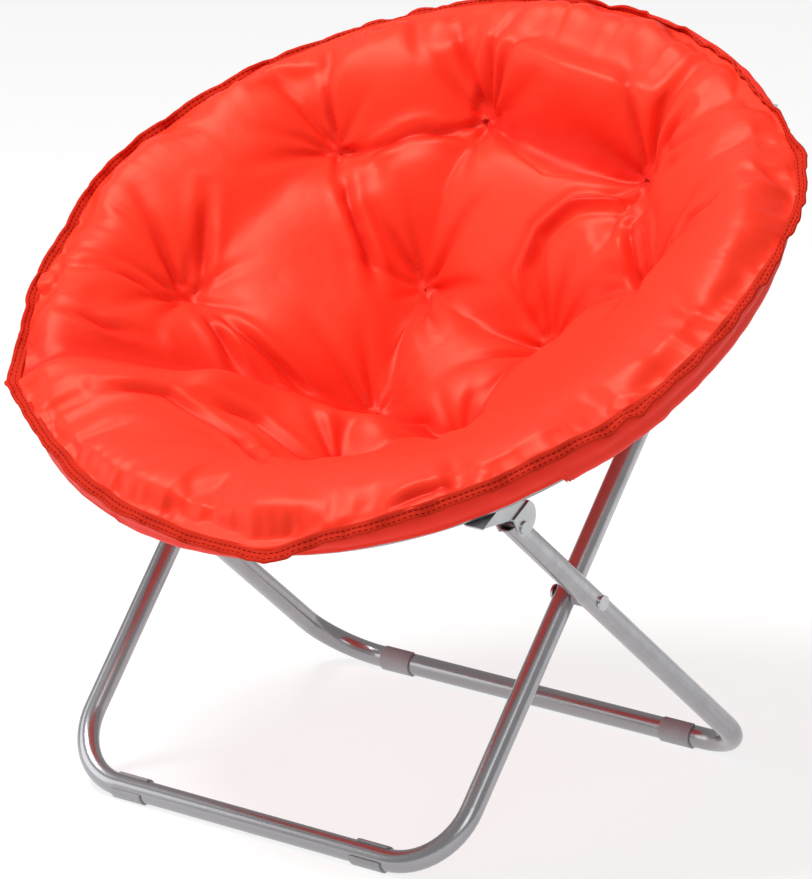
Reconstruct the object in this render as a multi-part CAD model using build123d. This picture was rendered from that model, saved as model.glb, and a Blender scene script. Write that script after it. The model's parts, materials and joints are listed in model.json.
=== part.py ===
"""Folding saucer chair: a round padded seat on a two-piece steel hoop, carried by two crossed
tube legs. The seat frame has X to the right, V up the slope of the seat and N square out of it."""

import os
from math import asin, cos, degrees, hypot, pi, radians, sin, sqrt

from build123d import *

# Hoop that holds the cover open, in two pieces
hoop_radius = 374.0  # centreline
hoop_tube = 19.0  # outside diameter
seat_tilt = 30.2  # slope of the hoop, front edge low
hoop_height = 509.0  # centre of the hoop above the floor

# Hoop hinges, where the front piece folds up against the rear piece
hinge_forward = 132.0  # hinge pins ahead of the hoop's centre, along the seat
hinge_rise = 19.0  # hinge pins above the tube's centreline
knuckle_radius = 6.5
socket_wall = 2.0
socket_length = 30.0
tongue_thickness = 4.0
ear_thickness = 2.5
lug_base = 22.0  # length of a lug where it joins its socket
hinge_pin_radius = 3.0
butt_gap = 0.3  # each side of the plane where the two pieces meet

# Legs, two U-shaped tubes crossed like scissors
leg_tube = 22.0
leg_wall = 1.5
front_bar_ahead = 241.1  # front floor bar ahead of the hoop's centre
rear_bar_behind = 218.0  # rear floor bar behind it
inner_half_width = 233.0  # frame on the front bar, tube centres
scissor_gap = 9.4  # between the tubes of the two frames
inner_corner = 68.0  # bend radii of the tube centre
outer_corner = 62.0
scissor_ahead = 51.6  # crossing point ahead of the hoop's centre
scissor_height = 240.0
front_pivot_reach = 165.0  # from the crossing up to the front bracket pins
rear_pivot_reach = 492.0  # from the crossing up to the rear bracket pins
leg_tip = 9.0  # tube beyond the bracket pin
drain_slot = (14.0, 4.0)

# Scissor rivets and bushes
rivet_radius = 4.0
bush_radius = 8.0
head_radius = 7.5
head_height = 2.5

# Brackets between the legs and the hoop: a neck under the hoop, and a channel that holds the leg
plate = 2.0  # bracket sheet
neck_length = 32.0  # where the neck meets the hoop
cheek_edge = 8.0  # straight edge of the channel's cheeks from the pin, on the hoop's side
cheek_back = 19.0  # far end of a cheek's top, from the pin
cheek_foot = 4.0  # lower end of the straight edge, below the pin
cheek_belly = (7.0, 9.5)  # lowest point of the curved edge, back from the pin and below it
bracket_pin_radius = 4.0
pin_head_radius = 6.5
pin_head_height = 2.0
bolt_radius = 2.5
bolt_head_radius = 4.5
bolt_head_height = 1.5

# Foot clips
clip_wall = 2.0
clip_length = 36.0
clip_flat = 0.4  # tread cut flat below the ring
front_clip_x = 148.0
rear_clip_x = 177.0

# Cover: padded seat over a cloth back, sewn round the hoop
cover_overhang = 11.0  # edge of the padded seat, out from the hoop's centreline
bowl_inset = 17.0  # where the bowl leaves the hoop, in from the centreline
bowl_depth = 200.0
bowl_power = 1.6  # 1 is a cone, 2 is a dish
lip_level = 12.8  # underside of the pad over the sleeved hoop
lip_thickness = 14.0
sleeve_wall = 2.5
back_thickness = 2.0
front_sleeve = (0.29, 0.66)  # sleeved from the middle, then open towards the hinge: shares of each arc
rear_sleeve = (0.62, 0.2)

# Quilting of the padded seat: rows across the slope, front to back
quilt_columns = (-1.0, -0.52, 0.0, 0.52, 1.0)  # of the half width
front_rows = 4
rear_rows = 7
edge_inset = 28.0  # last quilted row, in from where the bowl leaves the hoop
rim_inset = 7.0  # end of the pad, in from its edge
least_width = 0.3  # of a row, where the bowl runs out
arc_lift = 0.2  # keeps a level stretch of a row an arc
tuft_fill = 9.0  # thickness at a tuft
valley_fill = 24.0  # thickness between tufts
tuft_crown = 18.0  # puff beyond the fill on a row of tufts
valley_crown = 30.0  # puff between rows

# Clearances
running = 0.05  # pins in the tubes that turn on them
seat_gap = 0.3  # between pieces that only lie against each other
side_gap = 0.4  # leg between bracket cheeks
tip_gap = 1.4  # leg's turning tip under the channel's sheet

# Worked out from the sizes above
hoop_r = hoop_tube / 2
leg_r = leg_tube / 2
outer_half_width = inner_half_width + leg_tube + scissor_gap  # frame on the rear bar
clip_r = leg_r + clip_wall
bar_height = clip_r - clip_flat
hinge_v = -hinge_forward
hinge_x = sqrt(hoop_radius**2 - hinge_v**2)
hinge_angle = degrees(asin(hinge_v / hoop_radius))
cover_radius = hoop_radius + cover_overhang
bowl_radius = hoop_radius - bowl_inset
seat_frame = Plane(
    origin=(0, 0, hoop_height),
    x_dir=(1, 0, 0),
    z_dir=(0, -sin(radians(seat_tilt)), cos(radians(seat_tilt))),
)
sides = {"left": -1, "right": 1}
nodes = {}


def seat(shape):
    """Carries a shape from the seat frame to the floor frame."""
    return seat_frame.location * shape


def in_seat(y, z):
    """The V and N of a point in the chair's side view."""
    point = seat_frame.to_local_coords(Vector(0, y, z))
    return point.Y, point.Z


def across(sketch, x, width):
    """A sketch drawn in V and N, made a plate of the given width centred at x."""
    side_view = Plane(origin=(x, 0, 0), x_dir=(0, 1, 0), z_dir=(1, 0, 0))
    return extrude(side_view * sketch, width / 2, both=True)


def rod(x1, x2, v, n, radius):
    """A round bar along X."""
    start = Plane(origin=(min(x1, x2), v, n), x_dir=(0, 1, 0), z_dir=(1, 0, 0))
    return extrude(start * Circle(radius), abs(x2 - x1))


def ring(radius, start, end):
    """Part of a round bar that follows the hoop, between two angles from +X towards +V."""
    section = Plane.XZ * Location((hoop_radius, 0, 0)) * Circle(radius)
    return Rot(0, 0, start) * revolve(section, Axis.Z, end - start)


def hoop_part(place, radius):
    """Round bar along the front or the rear piece of the hoop, a little past its ends."""
    past = 5.0
    if place == "front":
        return ring(radius, -180 - hinge_angle - past, hinge_angle + past)
    return ring(radius, hinge_angle - past, 180 - hinge_angle + past)


def slab(v1, v2):
    """Everything between two values of V, to cut shapes square to the slope."""
    big = 3 * hoop_radius
    return Pos(0, (v1 + v2) / 2, 0) * Box(big, v2 - v1, big)


# Side view of the legs, in the floor frame
class Leg:
    """One U of tube: where it stands, how wide it is and where its pins are."""

    def __init__(self, bar_y, half_width, corner, reach):
        self.bar_y, self.half_width, self.corner = bar_y, half_width, corner
        run, rise = -scissor_ahead - bar_y, scissor_height - bar_height
        self.below = hypot(run, rise)
        self.direction = (run / self.below, rise / self.below)
        self.length = self.below + reach + leg_tip
        self.pin = self.at(self.below + reach)

    def at(self, distance):
        """Point of the straight leg at a distance from the floor bar."""
        return (
            self.bar_y + distance * self.direction[0],
            bar_height + distance * self.direction[1],
        )

    def tube(self):
        dy, dz = self.direction
        plane = Plane(
            origin=(0, self.bar_y, bar_height), x_dir=(1, 0, 0), z_dir=(0, -dz, dy)
        )
        w = self.half_width
        u_shape = FilletPolyline(
            (-w, self.length), (-w, 0), (w, 0), (w, self.length), radius=self.corner
        )
        path = plane * u_shape
        section = Plane(path @ 0, z_dir=path % 0) * (
            Circle(leg_r) - Circle(leg_r - leg_wall)
        )
        frame = sweep(section, path)
        pins = ((self.pin, bracket_pin_radius), ((-scissor_ahead, scissor_height), rivet_radius))
        for (y, z), radius in pins:
            frame -= rod(-w - leg_tube, w + leg_tube, y, z, radius + running)
        return frame


front_leg = Leg(-front_bar_ahead, inner_half_width, inner_corner, rear_pivot_reach)
rear_leg = Leg(rear_bar_behind, outer_half_width, outer_corner, front_pivot_reach)
front_pin = in_seat(*rear_leg.pin)
rear_pin = in_seat(*front_leg.pin)


def leg_frames():
    slot_length, slot_width = drain_slot
    slot = Pos(0, -front_bar_ahead, bar_height - leg_r) * Box(
        slot_length, slot_width, leg_r
    )
    nodes["front_leg_frame"] = front_leg.tube() - slot
    nodes["rear_leg_frame"] = rear_leg.tube()


def scissor_pivots():
    """Rivet on the inner frame, bush between the tubes and the rivet's outer head."""
    y, z = -scissor_ahead, scissor_height
    inner, outer = inner_half_width, outer_half_width
    for name, side in sides.items():
        shank_end = outer - leg_r - seat_gap
        shank = rod(side * (inner - leg_r), side * shank_end, y, z, rivet_radius)
        head = rod(
            side * (inner - leg_r - head_height), side * (inner - leg_r), y, z, head_radius
        )
        nodes[f"scissor_rivet_{name}"] = shank + head
        bush = rod(side * (inner + leg_r), side * shank_end, y, z, bush_radius)
        nodes[f"scissor_bush_{name}"] = bush - rod(
            side * inner, side * outer, y, z, rivet_radius + running
        )
        stub = rod(side * (outer - leg_r), side * (outer + leg_r), y, z, rivet_radius)
        cap = rod(
            side * (outer + leg_r), side * (outer + leg_r + head_height), y, z, head_radius
        )
        nodes[f"scissor_head_{name}"] = stub + cap


def foot_clips():
    """Snap clips open at the top front, with a flat tread under the bar."""
    ring_section = Circle(clip_r) - Circle(leg_r + running)
    mouth = Pos(-clip_r, clip_r) * Rectangle(2 * clip_r, 2 * clip_r)
    tread = Pos(0, -bar_height - clip_r) * Rectangle(4 * clip_r, 2 * clip_r)
    section = ring_section - mouth - tread
    places = {
        "front": (-front_bar_ahead, front_clip_x),
        "rear": (rear_bar_behind, rear_clip_x),
    }
    for place, (y, x) in places.items():
        for name, side in sides.items():
            clip = across(section, side * x, clip_length)
            nodes[f"{place}_clip_{name}"] = Pos(0, y, bar_height) * clip


def hoop():
    """Two arcs of tube that butt together under the hinge pins."""
    limits = {
        "front": (-2 * hoop_radius, hinge_v - butt_gap),
        "rear": (hinge_v + butt_gap, 2 * hoop_radius),
    }
    for place, half_width, pin, crossing in bracket_places():
        tube = hoop_part(place, hoop_r) & slab(*limits[place])
        for side in sides.values():
            tube -= rod_n(side * half_width, crossing, -hoop_tube, hoop_tube, bolt_radius)
        nodes[f"hoop_{place}_tube"] = seat(tube)


def rod_n(x, v, n1, n2, radius):
    """A round bar square to the seat."""
    return Pos(x, v, n1) * extrude(Circle(radius), n2 - n1)


def hinges():
    """Sockets on the tube ends with a tongue, two ears and a pin on top of them."""
    span = degrees(socket_length / hoop_radius)
    base = hoop_r / 2
    for name, side in sides.items():
        middle = hinge_angle if side > 0 else 180 - hinge_angle
        socket = ring(hoop_r + socket_wall, middle - span, middle + span)
        tube = ring(hoop_r + running, middle - 2 * span, middle + 2 * span)
        ear_x = tongue_thickness / 2 + seat_gap + ear_thickness / 2
        fittings = {
            "tongue": (-1, [(0, tongue_thickness)]),
            "clevis": (1, [(-ear_x, ear_thickness), (ear_x, ear_thickness)]),
        }
        for kind, (way, plates) in fittings.items():
            near = hinge_v + way * butt_gap
            lug = Polygon(
                (near, base),
                (near, hinge_rise),
                (hinge_v + way * knuckle_radius, hinge_rise),
                (hinge_v + way * lug_base, base),
                align=None,
            )
            lug += Pos(hinge_v, hinge_rise) * Circle(knuckle_radius)
            half = slab(min(near, way * hoop_radius), max(near, way * hoop_radius))
            body = socket & half
            for offset, width in plates:
                body += across(lug, side * hinge_x + offset, width)
            body -= tube
            hole = hinge_pin_radius + (running if kind == "tongue" else 0)
            x = side * hinge_x
            body -= rod(x - hoop_tube, x + hoop_tube, hinge_v, hinge_rise, hole)
            nodes[f"hinge_{kind}_{name}"] = seat(body)
        reach = ear_x + ear_thickness / 2
        pin = rod(x - reach, x + reach, hinge_v, hinge_rise, hinge_pin_radius)
        for end in (-1, 1):
            start = x + end * reach
            pin += rod(
                start, start + end * pin_head_height / 2, hinge_v, hinge_rise, knuckle_radius - 1.5
            )
        nodes[f"hinge_pin_{name}"] = seat(pin)


def bracket_places():
    """Name, frame half width, pin and the V where the hoop passes over it."""
    return (
        ("front", outer_half_width, front_pin, -sqrt(hoop_radius**2 - outer_half_width**2)),
        ("rear", inner_half_width, rear_pin, sqrt(hoop_radius**2 - inner_half_width**2)),
    )


def leg_brackets():
    """Neck under the hoop on top of a channel, with the leg's tip between the channel's cheeks."""
    cheek_x = leg_r + side_gap + plate / 2
    neck_x = cheek_x - plate
    top = -hoop_r - running
    tip_sweep = hypot(leg_tip, leg_r) + tip_gap
    for place, x, (v, n), crossing in bracket_places():
        way = 1 if crossing > v else -1
        sheet = n + tip_sweep + plate
        near, far = v + way * cheek_edge, v - way * cheek_back
        belly = (v - way * cheek_belly[0], n - cheek_belly[1])
        foot = (near, n - cheek_foot)
        cheek = make_face([
            Polyline(foot, (near, sheet), (far, sheet)),
            ThreePointArc((far, sheet), belly, foot),
        ])
        web = Pos((near + far) / 2, sheet - plate / 2) * Rectangle(abs(near - far), plate)
        ends = (crossing + way * neck_length / 2, crossing - way * neck_length / 2)
        neck = Polygon((ends[0], top), (ends[1], top), (far, sheet), (near, sheet), align=None)
        crown = Pos(crossing, top - plate / 2) * Rectangle(neck_length, plate)
        bolts = []
        for name, side in sides.items():
            body = across(web, side * x, 2 * cheek_x)
            body += across(crown, side * x, 2 * neck_x)
            for end in (-1, 1):
                body += across(cheek, side * x + end * cheek_x, plate)
                body += across(neck, side * x + end * neck_x, plate)
            body -= rod_n(side * x, crossing, 2 * top, 0, bolt_radius)
            outer = cheek_x + plate / 2
            body -= rod(side * x - outer, side * x + outer, v, n, bracket_pin_radius)
            nodes[f"{place}_bracket_{name}"] = seat(body)
            pin = rod(side * x - outer, side * x + outer, v, n, bracket_pin_radius)
            for end in (-1, 1):
                start = side * x + end * outer
                pin += rod(start, start + end * pin_head_height, v, n, pin_head_radius)
            nodes[f"{place}_pivot_pin_{name}"] = seat(pin)
            bolts.append(bracket_bolt(side * x, crossing, top - plate))
        nodes[f"{place}_bracket_bolts"] = seat(Compound(bolts))


def bracket_bolt(x, v, seat_level):
    """Through bolt from under the web to the top of the hoop tube."""
    shank = rod_n(x, v, seat_level, hoop_r, bolt_radius)
    low = rod_n(x, v, seat_level - bolt_head_height, seat_level, bolt_head_radius)
    high = rod_n(x, v, hoop_r, hoop_r + bolt_head_height, bolt_head_radius)
    return shank + low + high


def sleeves():
    """Cloth sleeves round the hoop, left open at the brackets and the hinges."""
    outer, inner = hoop_r + sleeve_wall, hoop_r + seat_gap
    hinge_half = degrees((socket_length + seat_gap) / hoop_radius)
    quarter = degrees(pi / 2)
    shares = {"front": (-1, front_sleeve), "rear": (1, rear_sleeve)}
    for place, half_width, pin, crossing in bracket_places():
        way, (middle_share, side_share) = shares[place]
        bracket = degrees(asin(half_width / hoop_radius))
        hinge = quarter - way * hinge_angle - hinge_half
        middle = middle_share * bracket
        start = bracket + side_share * (hinge - bracket)
        spans = ((-hinge, -start), (-middle, middle), (start, hinge))
        pieces = [
            ring(outer, way * quarter + a, way * quarter + b)
            - ring(inner, way * quarter + a, way * quarter + b)
            for a, b in spans
        ]
        nodes[f"rim_sleeve_{place}"] = seat(Compound(pieces))


def bowl(x, v):
    """Height of the cloth bowl in the seat frame."""
    share = min(hypot(x, v) / bowl_radius, 1.0)
    return lip_level - bowl_depth * (1 - share**bowl_power)


def rows(count, start, sign):
    """Quilting rows from the hinge line out to the edge row, then the rim."""
    step = (bowl_radius - edge_inset - sign * start) / count
    quilted = [start + sign * i * step for i in range(count + 1)]
    return quilted + [sign * bowl_radius, sign * (cover_radius - rim_inset)]


def row_wire(v, tufted, drop=None):
    """Outline of the cover in one row: the padded seat, or the cloth back under it."""
    width = sqrt(cover_radius**2 - v**2)
    inner = sqrt(bowl_radius**2 - v**2) if abs(v) < bowl_radius else least_width * width
    low = [(x, bowl(x, v)) for x in (-inner, -inner / 2, 0, inner / 2, inner)]
    plane = Plane(origin=(0, v, 0), x_dir=(1, 0, 0), z_dir=(0, -1, 0))
    if drop is not None:
        top = [(x, n - drop) for x, n in low]
        under = [(x, n - drop - back_thickness) for x, n in low]
        edges = [
            ThreePointArc(*top[0:3]),
            ThreePointArc(*top[2:5]),
            Line(top[4], under[4]),
            ThreePointArc(*under[4:1:-1]),
            ThreePointArc(*under[2::-1]),
            Line(under[0], top[0]),
        ]
        return plane * Wire(edges)
    fill, crown = (tuft_fill, tuft_crown) if tufted else (valley_fill, valley_crown)
    columns = [c * width for c in quilt_columns]
    rim = lip_level + lip_thickness
    top = [(x, bowl(x, v) + fill) for x in columns]
    top[0], top[-1] = (-width, rim), (width, rim)
    edges = []
    for left, right in zip(top, top[1:]):
        x = (left[0] + right[0]) / 2
        peak = max(bowl(x, v) + fill, (left[1] + right[1]) / 2) + crown * width / cover_radius
        edges.append(ThreePointArc(left, (x, peak), right))
    edges += [
        Line(top[-1], (width, lip_level)),
        Line((width, lip_level), low[4]),
        ThreePointArc(*bulged(low[4:1:-1])),
        ThreePointArc(*bulged(low[2::-1])),
        Line(low[0], (-width, lip_level)),
        Line((-width, lip_level), top[0]),
    ]
    return plane * Wire(edges)


def bulged(points):
    """Keeps a flat stretch an arc, by lifting its middle a little."""
    a, (x, n), b = points
    flat = abs(n - (a[1] + b[1]) / 2) < arc_lift
    return [a, (x, n + arc_lift if flat else n), b]


def cover():
    """Padded seat and cloth back, each in a front and a rear piece that meet at the hinges."""
    knuckles = [hinge_room(side) for side in sides.values()]
    for place, count, sign in (("front", front_rows, -1), ("rear", rear_rows, 1)):
        start = hinge_v + sign * seat_gap / 2
        stations = rows(count, start, sign)
        wires = [row_wire(v, i % 2 == 1) for i, v in enumerate(stations)]
        pad = loft([Face(w) for w in wires], ruled=True)
        for room in knuckles:
            pad -= room
        nodes[f"seat_pad_{place}"] = seat(pad)
        wires = [row_wire(v, False, seat_gap) for v in stations[:-2]]
        back = loft([Face(w) for w in wires], ruled=True)
        nodes[f"back_panel_{place}"] = seat(back)


def hinge_room(side):
    """Space that a hinge takes up under the pad."""
    length = 2 * (socket_length + seat_gap)
    width = hoop_tube + 2 * (socket_wall + seat_gap) + lug_base / 2
    top = hinge_rise + knuckle_radius + seat_gap
    return Pos(side * hinge_x, hinge_v, 0) * Box(width, length, 2 * top)


leg_frames()
scissor_pivots()
foot_clips()
hoop()
hinges()
leg_brackets()
sleeves()
cover()

# The origin is on the floor, in the middle of the whole chair
whole = [shape.bounding_box() for shape in nodes.values()]
middle_y = (min(b.min.Y for b in whole) + max(b.max.Y for b in whole)) / 2
os.makedirs("parts", exist_ok=True)
for node, shape in nodes.items():
    export_step(Pos(0, -middle_y, 0) * shape, f"parts/{node}.step")
print(f"hoop centre at y {-middle_y:.6f}")
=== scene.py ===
import json
from math import atan2, cos, degrees, exp, hypot, pi, radians, sin, sqrt, tanh, tau

import bmesh
import bpy
from mathutils import Matrix, Vector, noise


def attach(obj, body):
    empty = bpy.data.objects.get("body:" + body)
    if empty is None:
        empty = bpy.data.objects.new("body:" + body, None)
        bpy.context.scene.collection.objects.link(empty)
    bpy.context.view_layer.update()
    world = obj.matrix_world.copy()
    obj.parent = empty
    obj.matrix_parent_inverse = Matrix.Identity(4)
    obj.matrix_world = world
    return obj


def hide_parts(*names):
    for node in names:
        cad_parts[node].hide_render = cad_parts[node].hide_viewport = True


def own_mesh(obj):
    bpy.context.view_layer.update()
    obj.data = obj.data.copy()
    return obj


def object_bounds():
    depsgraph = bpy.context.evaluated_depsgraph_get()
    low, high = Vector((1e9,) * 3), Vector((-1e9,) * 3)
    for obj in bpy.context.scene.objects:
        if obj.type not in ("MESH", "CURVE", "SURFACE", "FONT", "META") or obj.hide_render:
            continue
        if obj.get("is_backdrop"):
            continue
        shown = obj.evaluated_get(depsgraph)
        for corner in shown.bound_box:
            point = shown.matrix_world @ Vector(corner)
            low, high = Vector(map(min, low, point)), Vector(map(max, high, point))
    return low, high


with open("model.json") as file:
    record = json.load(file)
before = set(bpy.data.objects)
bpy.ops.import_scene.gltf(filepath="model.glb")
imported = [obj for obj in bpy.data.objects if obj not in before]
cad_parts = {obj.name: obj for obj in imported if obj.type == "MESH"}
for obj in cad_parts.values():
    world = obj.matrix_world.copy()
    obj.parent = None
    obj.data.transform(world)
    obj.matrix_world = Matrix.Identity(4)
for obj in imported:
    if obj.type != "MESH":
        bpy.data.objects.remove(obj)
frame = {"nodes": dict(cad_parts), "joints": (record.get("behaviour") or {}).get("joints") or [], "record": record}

bl_info = {
    "name": "Folding saucer chair",
    "version": (1, 0, 0),
    "blender": (4, 5, 0),
    "location": "View3D > Sidebar > Chair",
    "description": "Dresses the frame of a folding saucer chair: padded cover, sewn edge and finishes",
    "category": "Object",
}

CAD_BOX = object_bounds()
MM = 0.001
# Points closer than this are the same
NEAR = 1e-6
JOINTS = {joint["name"]: Vector(joint["pos_m"]) for joint in frame["joints"]}


# -------- settings


def a_number(name, description, default, **kind):
    """A setting: a bare number where nothing else is said."""
    return bpy.props.FloatProperty(name=name, description=description, default=default, **kind)


def a_length(name, description, default):
    """A setting in metres."""
    return a_number(name, description, default, unit="LENGTH")


def an_angle(name, description, default):
    """A setting that is given here in degrees."""
    return a_number(name, description, radians(default), subtype="ANGLE")


def a_vector(name, description, default, **kind):
    """A setting of three numbers."""
    return bpy.props.FloatVectorProperty(
        name=name, description=description, default=default, size=3, **kind
    )


def a_colour(name, description, default):
    """A setting that is a colour."""
    return a_vector(name, description, default, subtype="COLOR")


class ChairCover(bpy.types.PropertyGroup):
    """Sizes of the padded cover, in the seat frame: X across, V up the slope, N out of the seat."""

    tilt: an_angle("Tilt", "Slope of the hoop", 30.2)
    hinge_forward: a_length("Hinge forward", "Fold line ahead of the hoop's centre, on the slope", 0.132)
    hinge_rise: a_length("Hinge rise", "Hinge pins above the hoop's centreline", 0.019)
    hoop_radius: a_length("Hoop radius", "Hoop's centreline", 0.374)
    bowl_radius: a_length("Bowl radius", "Where the bowl leaves the hoop", 0.357)
    bowl_depth: a_length("Bowl depth", "Depth of the cloth back", 0.200)
    bowl_power: a_number("Bowl power", "1 is a cone, 2 is a dish", 1.6)
    lip_level: a_length("Lip level", "Cloth over the hoop's centreline", 0.0128)
    wrap_radius: a_length("Wrap radius", "Cloth round the hoop's tube", 0.0128)
    fill: a_length("Fill", "Thickness of the stuffing", 0.044)
    rim_taper: a_length("Rim taper", "How far in from the seam the stuffing thins", 0.060)
    slack: a_length("Slack", "How far the stuffing can shift in its cloth", 0.011)
    flange: a_length("Flange", "Width of the sewn edge", 0.0088)
    colour: a_colour("Cover colour", "Polyester of the padded side", (0.95, 0.040, 0.017))
    back_colour: a_colour("Back colour", "Polyester of the back and the band", (0.86, 0.036, 0.022))
    thread_colour: a_colour("Thread colour", "Stitching and tuft thread", (0.25, 0.004, 0.004))


class ChairStage(bpy.types.PropertyGroup):
    """Where the camera stands and how bright the studio is."""

    aim: a_vector("Aim", "Point at the middle of the picture", (-0.0053, 0.0135, 0.3343))
    azimuth: an_angle("Azimuth", "Camera's turn to the chair's right", 38.04)
    elevation: an_angle("Elevation", "Camera's height angle", 16.87)
    distance: a_length("Distance", "Camera to aim", 5.6734)
    focal_length: a_number("Lens", "Focal length in mm on a 36 mm sensor", 238.7)
    key_power: a_number("Key light", "Main softbox, in watts", 134.0)
    ambient: a_number("Ambient", "Strength of the studio's own light", 0.15)


def cover():
    """The cover's settings."""
    return bpy.context.scene.chair_cover


def stage():
    """The camera's and the lights' settings."""
    return bpy.context.scene.chair_stage


# -------- the seat frame


def seat_matrix():
    """From the seat frame to the room: the fold line's pins give its place."""
    c = cover()
    x = Vector((1, 0, 0))
    v = Vector((0, cos(c.tilt), sin(c.tilt)))
    n = Vector((0, -sin(c.tilt), cos(c.tilt)))
    origin = JOINTS["hoop_fold"] + v * c.hinge_forward - n * c.hinge_rise
    return Matrix.Translation(origin) @ Matrix((x, v, n)).transposed().to_4x4()


def bowl(r):
    """Height of the cloth back at a distance from the middle."""
    c = cover()
    share = min(r / c.bowl_radius, 1.0)
    return c.lip_level - c.bowl_depth * (1 - share**c.bowl_power)


def smooth_step(a, b, x):
    """0 up to a, 1 from b on, with an even rise between them."""
    t = min(max((x - a) / (b - a), 0.0), 1.0)
    return t * t * (3 - 2 * t)


def fall(distance, width, power=2):
    """1 at no distance, falling to 0 past a width."""
    return exp(-((distance / width) ** power))


def turn_between(a, b):
    """Degrees between two directions, the short way round."""
    return abs((a - b + 180) % 360 - 180)


def hinge_place():
    """How far out to the side the hoop's hinges are, and their angle ahead of the side in degrees."""
    c = cover()
    out = sqrt(c.hoop_radius**2 - c.hinge_forward**2)
    return out, degrees(atan2(c.hinge_forward, out))


def round_trip(points, angle):
    """Smooth closed curve through (angle, value, ...) points, at any angle in degrees."""
    angle %= 360
    count = len(points)
    for i in range(count):
        a, b = points[i], points[(i + 1) % count]
        span = (b[0] - a[0]) % 360
        along = (angle - a[0]) % 360
        if along <= span:
            t = along / span
            before, after = points[i - 1], points[(i + 2) % count]
            out = []
            for k in range(1, len(a)):
                m1 = (b[k] - before[k]) / (span + (a[0] - before[0]) % 360) * span
                m2 = (after[k] - a[k]) / (span + (after[0] - b[0]) % 360) * span
                out.append(
                    (2 * t**3 - 3 * t**2 + 1) * a[k]
                    + (t**3 - 2 * t**2 + t) * m1
                    + (3 * t**2 - 2 * t**3) * b[k]
                    + (t**3 - t**2) * m2
                )
            return out
    raise ValueError("the points don't go round")


# -------- places and sizes of the cover


# Seam of the cover's edge: angle round the hoop, radius and height over the hoop in mm, and the
# lean of the sewn flange in degrees from straight outwards
SEAM = (
    (0, 389, 24, 0),
    (14, 394, 20, 8),
    (24, 399, 18, 10),
    (33, 393, 17, 20),
    (42, 386, 15, 45),
    (52, 377, 13, 75),
    (62, 376, 13, 88),
    (82, 376, 13, 88),
    (90, 376, 13, 75),
    (97, 376, 13, 40),
    (108, 377, 13, 40),
    (113, 376, 13, 0),
    (124, 376, 13, -5),
    (138, 377, 13, 25),
    (150, 382, 16, 40),
    (160, 380, 19, 50),
    (172, 388, 20, 52),
    (182, 387, 21, 52),
    (190, 378, 21, 50),
    (200, 383, 22, 42),
    (210, 381, 23, 30),
    (216, 383, 24, 20),
    (222, 391, 26, 8),
    (230, 384, 27, -5),
    (240, 380, 28, -20),
    (252, 381, 25, -30),
    (264, 384, 22, -30),
    (276, 388, 16, -30),
    (285, 394, 13, -34),
    (294, 384, 22, -35),
    (306, 381, 27, -35),
    (318, 381, 29, -30),
    (328, 382, 30, -25),
    (340, 386, 26, -18),
    (350, 388, 25, -8),
)
# Where two panels of the cover meet: the flange is pulled out to a corner
CORNERS = (33, 100, 222, 285, 340)

# Tufts: where thread pulls the padding down, in the seat frame, in mm
TUFTS = (
    (-219, 171),
    (-92, 256),
    (122, 227),
    (-263, -53),
    (184, 119),
    (70, 70),
    (-95, 98),
    (59, -82),
    (-62, -58),
    (6, -185),
)
# Valleys of the padding: the points they run through, in mm, their depth from 0 to 1, their width in mm
VALLEYS = (
    (((-92, 256), (15, 232), (122, 227)), 0.95, 16),
    (((-62, -58), (0, -66), (59, -82)), 0.85, 20),
    (((-296, -226), (-226, -168), (-158, -116), (-104, -76), (-62, -58)), 0.72, 36),
    (((-95, 98), (-62, -58)), 0.5, 20),
    (((-92, 256), (-95, 98)), 0.3, 16),
    (((-95, 98), (0, 70), (70, 70)), 0.45, 20),
    (((70, 70), (184, 119)), 0.55, 24),
    (((70, 70), (59, -82)), 0.45, 18),
    (((184, 119), (122, 227)), 0.35, 20),
    (((-219, 171), (-92, 256)), 0.3, 20),
    (((-263, -53), (-219, 171)), 0.25, 20),
    (((6, -185), (59, -82)), 0.3, 20),
)
# Rolls of stuffing that stand higher: the points they run through, their height and width in mm
ROLLS = (
    (((-86, 293), (22, 272), (122, 262)), 52, 20),
    (((-228, -226), (-190, -206), (-130, -156)), 24, 38),
    (((-130, -156), (-90, -124), (-20, -112), (44, -118)), 22, 28),
    (((-120, -270), (0, -270), (120, -250)), 12, 60),
)
# Folds of the slack cloth: the points they run through and their depth, in mm
FOLDS = (
    (((-198, 152), (-173, 118), (-138, 84), (-115, 54)), 5),
    (((135, 200), (64, 178), (35, 150), (29, 116), (42, 96)), -6),
    (((145, 200), (135, 168), (163, 128), (215, 88)), 5),
    (((220, 92), (248, 130), (298, 146)), 5),
    (((-71, 76), (-53, 48), (-36, 30)), -5),
    (((-82, 236), (-130, 214), (-167, 184), (-196, 164)), 4),
    (((-238, -64), (-194, -86), (-152, -118)), 5),
    (((-236, -60), (-174, -70), (-119, -82), (-93, -88)), 5),
    (((-249, -52), (-264, 4), (-281, 50)), 5),
    (((-253, -66), (-291, -80), (-322, -94)), 4),
    (((-197, -252), (-144, -216), (-63, -226), (26, -274)), 5),
    (((-123, -196), (-78, -184), (18, -204), (55, -222)), 6),
    (((55, -222), (70, -186), (70, -138)), 6),
    (((192, -326), (222, -290), (260, -252)), 4),
    (((123, -128), (85, -32), (77, 14), (93, 42)), 5),
    (((-79, 246), (-96, 266), (-91, 286)), 6),
    (((144, 210), (151, 238), (174, 264)), 6),
    (((152, 206), (199, 212)), 6),
    (((-308, -164), (-263, -154), (-229, -132)), 4),
)

# Stretches of the hoop, in degrees, where the band stops short and leaves the tube's underside bare
OPENINGS = ((38, 66), (114, 142), (212, 257), (283, 328))

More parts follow.
